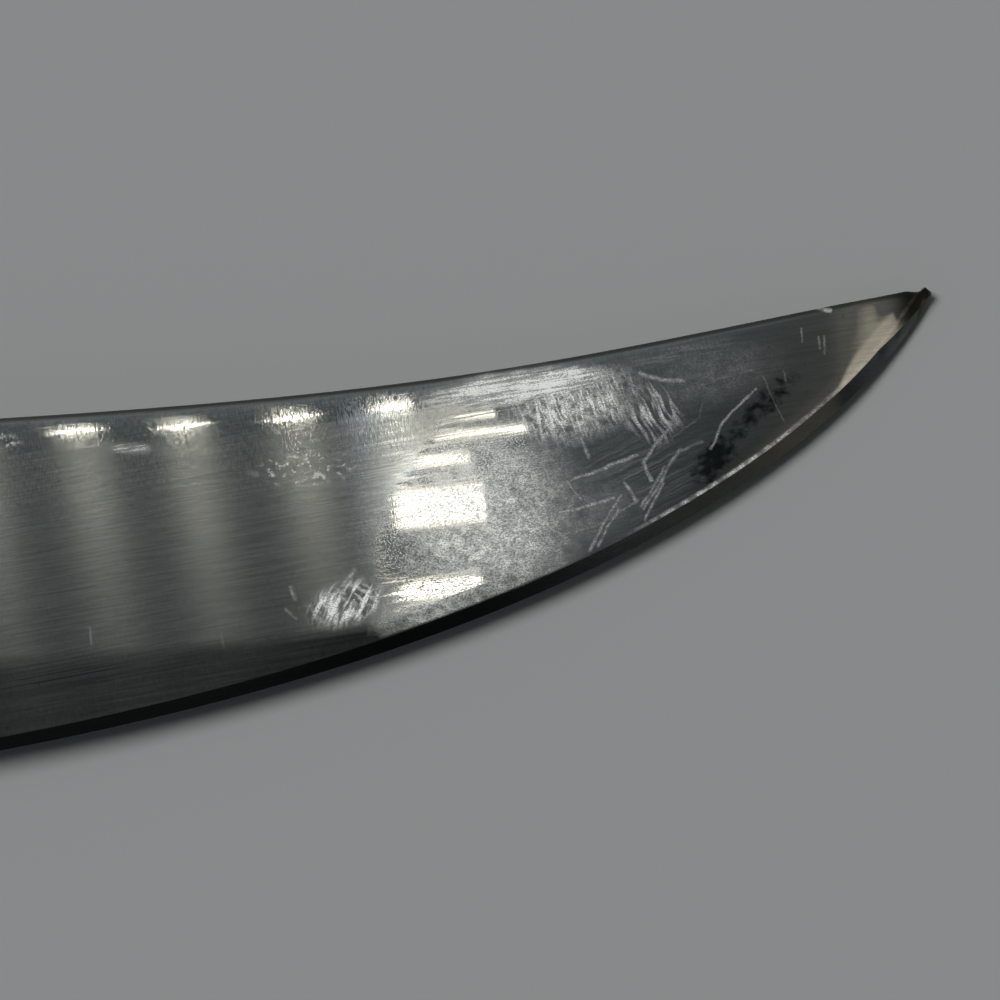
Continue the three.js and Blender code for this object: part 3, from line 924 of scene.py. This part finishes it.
    # The spine's rounded corner: duller, and painted darker as a dark reflection
    dull_corner_painted_dark = node(tree, "MapRange", (below_spine, *SPINE_CORNER_DULL_PAINTED_DARK, 1, 0))
    colour = node(tree, "Mix", (dull_corner_painted_dark, colour, linear("#7d7b77")))
    colour = node(tree, "Mix", (wear, colour, linear("#e4e4e0")))
    # The burr at the point is painted darker
    darker_point = node(tree, "MapRange", (x, *DARKER_POINT_X))
    colour = node(tree, "Mix", (darker_point, colour, linear("#4a4844")))
    metal = node(tree, "Math", (wear, -0.9, 1), operation="MULTIPLY_ADD")
    tree.links.new(metal, shader.inputs["Metallic"])

    # Gloss, smeared across the buffing lines: sharp where the steel is flat, dull where it is scuffed
    smear = node(tree, "MapRange", (x, *SMEAR_X, *BUFFED_GLOSS))
    tip_smear = node(tree, "MapRange", (x, *TIP_SMEAR_X, 0, TIP_SMEAR_GLOSS))
    smear = node(tree, "Math", (smear, tip_smear), operation="ADD")
    streaky = node(tree, "Math", (lines, 0.5), operation="SUBTRACT")
    streak_depth = node(tree, "MapRange", (below_spine, *STREAK_DEPTH, 0.16, 0.08))
    smear = node(tree, "Math", (streaky, streak_depth, smear), operation="MULTIPLY_ADD")
    wiped = node(tree, "Math", (hairs, 0.5), operation="SUBTRACT")
    wiped_depth = node(tree, "MapRange", (below_spine, *WIPED_DEPTH, 0.42, 0.05))
    wiped_along = node(tree, "MapRange", (x, *WIPED_X, 1, 0.5))
    for share in (wiped_depth, wiped_along, hairy):
        wiped = node(tree, "Math", (wiped, share))
    polished = node(tree, "MapRange", (below_spine, *POLISHED_DEPTH, 0.4, 1))
    smear = node(tree, "Math", (smear, polished, wiped), operation="MULTIPLY_ADD")
    flat = patch(tree, place, *FLAT_ZONE, FLAT_ZONE_CORE)
    flat = node(tree, "Math", (flat, 0.45, lines), operation="MULTIPLY_ADD")
    flat = node(tree, "MapRange", (flat, 0.6, 0.85))
    smear = node(tree, "Mix", (flat, smear, FLAT_GLOSS), data_type="FLOAT")
    stoned = node(tree, "MapRange", (above_edge, EDGE_BEVEL * 0.95, EDGE_BEVEL, 1, 0))
    stoned_gloss = node(tree, "MapRange", (x, *STONED_X, *STONED_GLOSS))
    smear = node(tree, "Mix", (stoned, smear, stoned_gloss), data_type="FLOAT")
    smear = node(tree, "Math", (smear, FLAT_GLOSS), operation="MAXIMUM")
    dulled = node(tree, "Mix", (dull_corner_painted_dark, smear, CORNER_GLOSS), data_type="FLOAT")
    worn_dull = node(tree, "MapRange", (wear, 0.5, 0.95))
    gloss = node(tree, "Mix", (worn_dull, dulled, SCUFFED_GLOSS), data_type="FLOAT")
    shader.inputs["Anisotropic"].default_value = 1
    across = node(tree, "CombineXYZ", (-math.sin(buff_turn), math.cos(buff_turn), 0))
    tree.links.new(across, shader.inputs["Tangent"])

    # Relief: buffing lines, hairs, and the grains between the flats
    relief = node(tree, "Math", (lines, LINE_RELIEF))
    hair_relief = node(tree, "MapRange", (x, *HAIR_RELIEF_X, *HAIR_RELIEF))
    relief = node(tree, "Math", (hairs, hair_relief, relief), operation="MULTIPLY_ADD")
    raised = node(tree, "MapRange", (grit, 0.54, 0.84, 0, GRAIN_RELIEF))
    grainy = patch(tree, place, *GRAINY_ZONE)
    relief = node(tree, "Math", (raised, grainy, relief), operation="MULTIPLY_ADD")
    surface(tree, shader, colour, gloss, relief)
    return material


def walnut():
    """Walnut, sawn along the grain, sanded and oiled.

    Dark late-wood bands wander along the handle, short open pores show as dark dashes, and the oil leaves a
    satin sheen."""
    material, tree, shader = new_material("oiled_walnut")
    place = knife_millimetres(tree)

    # Bands 2 to 3 mm apart, fibres in bundles 0.3 mm across, and pores 0.13 mm across
    drift = stretched(tree, place, (60, 9, 9))
    drift = node(tree, "TexNoise", {"Vector": drift, "Scale": 1, "Detail": 2}, "Color")
    drifted = node(tree, "VectorMath", (drift, (0, 7, 7), place), operation="MULTIPLY_ADD")
    bands = stretched(tree, drifted, (90, 2.2, 3.2))
    bands = node(tree, "TexNoise", {"Vector": bands, "Scale": 1, "Detail": 3})
    fibres = stretched(tree, drifted, (14, 0.3, 0.3))
    fibres = node(tree, "TexNoise", {"Vector": fibres, "Scale": 1, "Detail": 3})
    dashes = stretched(tree, place, (2.6, 0.13, 0.13), 9)
    dashes = node(tree, "TexNoise", {"Vector": dashes, "Scale": 1, "Detail": 1})
    figure = node(tree, "MapRange", (bands, 0.36, 0.66))
    wood = node(tree, "Mix", (figure, linear("#7a5238"), linear("#4a2e1f")))
    fibre = node(tree, "MapRange", (fibres, 0.3, 0.7))
    wood = node(tree, "Mix", (fibre, wood, linear("#5c3d2a")))
    pores = node(tree, "MapRange", (dashes, 0.63, 0.72))
    wood = node(tree, "Mix", (pores, wood, linear("#2a1910")))
    satin = node(tree, "MapRange", (fibres, 0.25, 0.75, 0.38, 0.5))
    satin = node(tree, "Math", (pores, 0.25, satin), operation="MULTIPLY_ADD")
    relief = node(tree, "Math", (fibres, FIBRE_RELIEF))
    relief = node(tree, "Math", (pores, -PORE_DEPTH, relief), operation="MULTIPLY_ADD")
    surface(tree, shader, wood, satin, relief)
    return material


def brass():
    """Brass, sanded flush with the wood and handled since.

    Sanding leaves fine lines along the handle, and handling a faint brown bloom in spots of about 2 mm."""
    material, tree, shader = new_material("sanded_brass")
    place = knife_millimetres(tree)
    lines = stretched(tree, place, (3, 0.07, 0.07))  # 0.07 mm apart
    lines = node(tree, "TexNoise", {"Vector": lines, "Scale": 1, "Detail": 2})
    bloom = node(tree, "TexNoise", {"Vector": place, "Scale": 0.5, "Detail": 4})
    tone = node(tree, "MapRange", (bloom, 0.4, 0.7))
    colour = node(tree, "Mix", (tone, linear("#d9b76c"), linear("#b28a4a")))
    shader.inputs["Metallic"].default_value = 1
    gloss = node(tree, "MapRange", (lines, 0.3, 0.7, 0.24, 0.4))
    relief = node(tree, "Math", (lines, SANDING_RELIEF))
    surface(tree, shader, colour, gloss, relief)
    return material


# Put together
def fitted(made, cad_node, material):
    """Dresses a finished piece, which stands for one piece of the frame."""
    made.data.materials.clear()
    made.data.materials.append(material)
    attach(made, "root")
    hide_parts(cad_node)


steel_finish, wood_finish, brass_finish = stainless_steel(), walnut(), brass()
hole_cutters = [rivet_hole(x) for _, x in rivet_stations()]

blade = drilled(forged_blade(), hole_cutters)
fitted(blade, "blade", steel_finish)
for scale_name, side in (("upper_scale", 1), ("lower_scale", -1)):
    scale = drilled(shaped_scale("oiled_" + scale_name, side), hole_cutters)
    crisp(scale, SCALE_CRISP)
    fitted(scale, scale_name, wood_finish)
for rivet_name, x in rivet_stations():
    tube = rivet_tube(f"turned_{rivet_name}_rivet_tube", x)
    pin = rivet_pin(f"turned_{rivet_name}_rivet_pin", x)
    for half, kind in ((tube, "tube"), (pin, "pin")):
        crisp(half, RIVET_CRISP)
        fitted(half, f"{rivet_name}_rivet_{kind}", brass_finish)
for cutter in hole_cutters:
    bpy.data.meshes.remove(cutter.data)


# Camera: it looks down on the front half of the blade from the edge's side
CAMERA_ELEVATION = math.radians(78)
CAMERA_ROLL = math.radians(3.12)
CAMERA_ANGLE = math.radians(24)
CAMERA_DISTANCE = 134.4
CAMERA_AIM = (94.14, -6.1, 0.3)
CAMERA_CLIP = 10  # nothing nearer to the camera shows

camera = in_scene("camera", bpy.data.cameras.new("camera"))
bpy.context.scene.camera = camera
camera.data.angle = CAMERA_ANGLE
camera.data.clip_start = CAMERA_CLIP * MM
back = Vector((0, -math.cos(CAMERA_ELEVATION), math.sin(CAMERA_ELEVATION)))
camera.location = lay @ Vector(CAMERA_AIM) + back * CAMERA_DISTANCE * MM
camera.rotation_mode = "QUATERNION"
camera.rotation_quaternion = (-back).to_track_quat("-Z", "Y") @ Quaternion((0, 0, 1), -CAMERA_ROLL)


# Floor
FLOOR_HALF = 6  # metres
FLOOR_SQUARES = 8


def pale_floor():
    """A matt pale grey table top."""
    material, _, shader = new_material("matt_table_top")
    shader.inputs["Base Color"].default_value = linear("#868888")
    shader.inputs["Roughness"].default_value = 0.9
    shader.inputs["Specular IOR Level"].default_value = 0.1
    mesh = bmesh.new()
    bmesh.ops.create_grid(mesh, x_segments=FLOOR_SQUARES, y_segments=FLOOR_SQUARES, size=FLOOR_HALF)
    made = mesh_object("table_top", mesh)
    made.data.materials.append(material)


pale_floor()

# Light
KEY_STRENGTH = 3.14  # watts a square metre
KEY_SPREAD = math.radians(30)
KEY_ELEVATION = math.radians(56)
KEY_TURN = math.radians(-72)  # round from the spine's side towards the handle
LAMP_DISTANCE = 1.5  # metres
LAMP_COLOUR = linear("#fff9e6")[:3]


def soft_key():
    lamp = bpy.data.lights.new("soft_key", "SUN")
    lamp.energy = KEY_STRENGTH
    lamp.angle = KEY_SPREAD
    made = in_scene("soft_key", lamp)
    level = math.cos(KEY_ELEVATION)
    towards = Vector((math.sin(KEY_TURN) * level, math.cos(KEY_TURN) * level, math.sin(KEY_ELEVATION)))
    made.rotation_mode = "QUATERNION"
    made.rotation_quaternion = towards.to_track_quat("Z", "Y")


def mirrored(x, y, lean):
    """A place on the blade's upper flank, and the way in which the camera looks on from it.

    The steel leans there by two small angles more, towards the tip and towards the spine."""
    spot = lay @ Vector((x, y, flank_half(x, y)))
    flank_x = (flank_half(x - 1, y) - flank_half(x + 1, y)) / 2
    flank_y = (flank_half(x, y - 1) - flank_half(x, y + 1)) / 2
    upright = lay_turn.to_3x3() @ Vector((flank_x + lean[0], flank_y + lean[1], 1)).normalized()
    return spot, (spot - camera.location).normalized().reflect(upright)


def lamp_in_blade(name, place, angles, radiance, turn=0, lean=(0, 0), shape="RECTANGLE", colour=LAMP_COLOUR):
    """A lamp hung where the blade shows it at a place.

    angles are how wide and how tall it looks from there, and turn is its turn from the blade's length, in
    degrees."""
    spot, way = mirrored(*place, lean)
    wide, tall = (2 * LAMP_DISTANCE * math.tan(math.radians(angle) / 2) for angle in angles)
    lamp = bpy.data.lights.new(name, "AREA")
    lamp.shape = shape
    lamp.size = wide
    lamp.size_y = tall
    lamp.energy = radiance * math.pi * wide * tall
    lamp.color = colour
    made = in_scene(name, lamp)
    made.location = spot + way * LAMP_DISTANCE
    made.rotation_mode = "QUATERNION"
    along = lay_turn.to_3x3() @ Vector((1, 0, 0))
    along = (along - way * along.dot(way)).normalized()
    facing = Matrix((along, way.cross(along), way)).transposed().to_quaternion()
    made.rotation_quaternion = facing @ Quaternion((0, 0, 1), math.radians(turn))


# A row of spotlights that shows on the shoulder below the spine, given by where each shows
SPOTLIGHTS = [(63.7, -1.1), (70.0, -1.1), (76.1, -1.7), (82.4, -1.9), (88.1, -1.6)]
SPOTLIGHT_ANGLES = (1.1, 0.32)
SPOTLIGHT_RADIANCE = 18
SPOTLIGHT_TURN = 18
SPOTLIGHT_LEAN = (0, math.radians(0.71))

# The slots of one louvred lamp, given by where each shows and its angles
LOUVRE_SLOTS = [
    ((92.5, -1.1), (1.5, 0.12)),
    ((93.2, -2.1), (2.5, 0.16)),
    ((90.9, -3.6), (1.5, 0.26)),
    ((90.7, -6.3), (2.4, 1.0)),
    ((90.0, -11.1), (2.7, 0.5)),
]
LOUVRE_RADIANCE = 4
LOUVRE_TURN = 3

# A pale window beside them
WINDOW_PLACE = (87.5, -2.4)
WINDOW_ANGLES = (1.6, 1.7)
WINDOW_RADIANCE = 1.3
WINDOW_COLOUR = linear("#e4f0ff")[:3]

soft_key()
for place in SPOTLIGHTS:
    lamp_in_blade(
        "spotlight", place, SPOTLIGHT_ANGLES, SPOTLIGHT_RADIANCE, SPOTLIGHT_TURN, SPOTLIGHT_LEAN, "ELLIPSE"
    )
for place, angles in LOUVRE_SLOTS:
    lamp_in_blade("louvre_slot", place, angles, LOUVRE_RADIANCE, LOUVRE_TURN)
lamp_in_blade("pale_window", WINDOW_PLACE, WINDOW_ANGLES, WINDOW_RADIANCE, colour=WINDOW_COLOUR)

# The room's levels of light
CEILING_LEVELS = (0.008, 0.235)  # on the camera's side, and beyond the spine
CEILING_OFF_TIP = 0.43  # share of them that is left off the tip
WALL_LEVELS = (0.5, 0.15)  # on the camera's side, and beyond the spine
CURTAIN_HEM = 0.16  # share of the curtain's light at its near side


def dim_room():
    """A dim room: pale walls round a dark ceiling, darkest on the camera's side, and a warm pale curtain
    off the tip, which only the drooping tip shows."""
    world = bpy.data.worlds.new("dim_room")
    bpy.context.scene.world = world
    world.use_nodes = True
    tree = world.node_tree
    ground = next(each for each in tree.nodes if each.type == "BACKGROUND")
    way = node(tree, "TexCoord", out="Generated")
    x, y, z = node(tree, "SeparateXYZ", (way,), ("X", "Y", "Z"))
    ceiling = node(tree, "MapRange", (y, -0.05, 0.5, *CEILING_LEVELS))
    off_tip = node(tree, "MapRange", (x, 0.06, 0.2, 1, CEILING_OFF_TIP))
    ceiling = node(tree, "Math", (ceiling, off_tip))
    walls = node(tree, "MapRange", (z, 0.3, 0.75, 1, 0))
    wall_levels = node(tree, "MapRange", (y, 0.2, 0.7, *WALL_LEVELS))
    walls = node(tree, "Math", (walls, wall_levels))
    level = node(tree, "Math", (ceiling, walls), operation="MAXIMUM")
    hem = node(tree, "MapRange", (x, 0.15, 0.3, 0, CURTAIN_HEM))
    curtain = node(tree, "Math", (hem, node(tree, "MapRange", (x, 0.3, 0.36))), operation="MAXIMUM")
    for fade in ((x, 0.5, 0.62, 1, 0), (y, -0.2, 0, 0, 1)):
        curtain = node(tree, "Math", (curtain, node(tree, "MapRange", fade)))
    light = node(tree, "VectorMath", {"Vector": linear("#eefdff")[:3], "Scale": level}, operation="SCALE")
    light = node(tree, "Mix", (curtain, light, linear("#c4bba9")))
    tree.links.new(light, ground.inputs["Color"])


dim_room()
bpy.context.scene.view_settings.view_transform = "Standard"
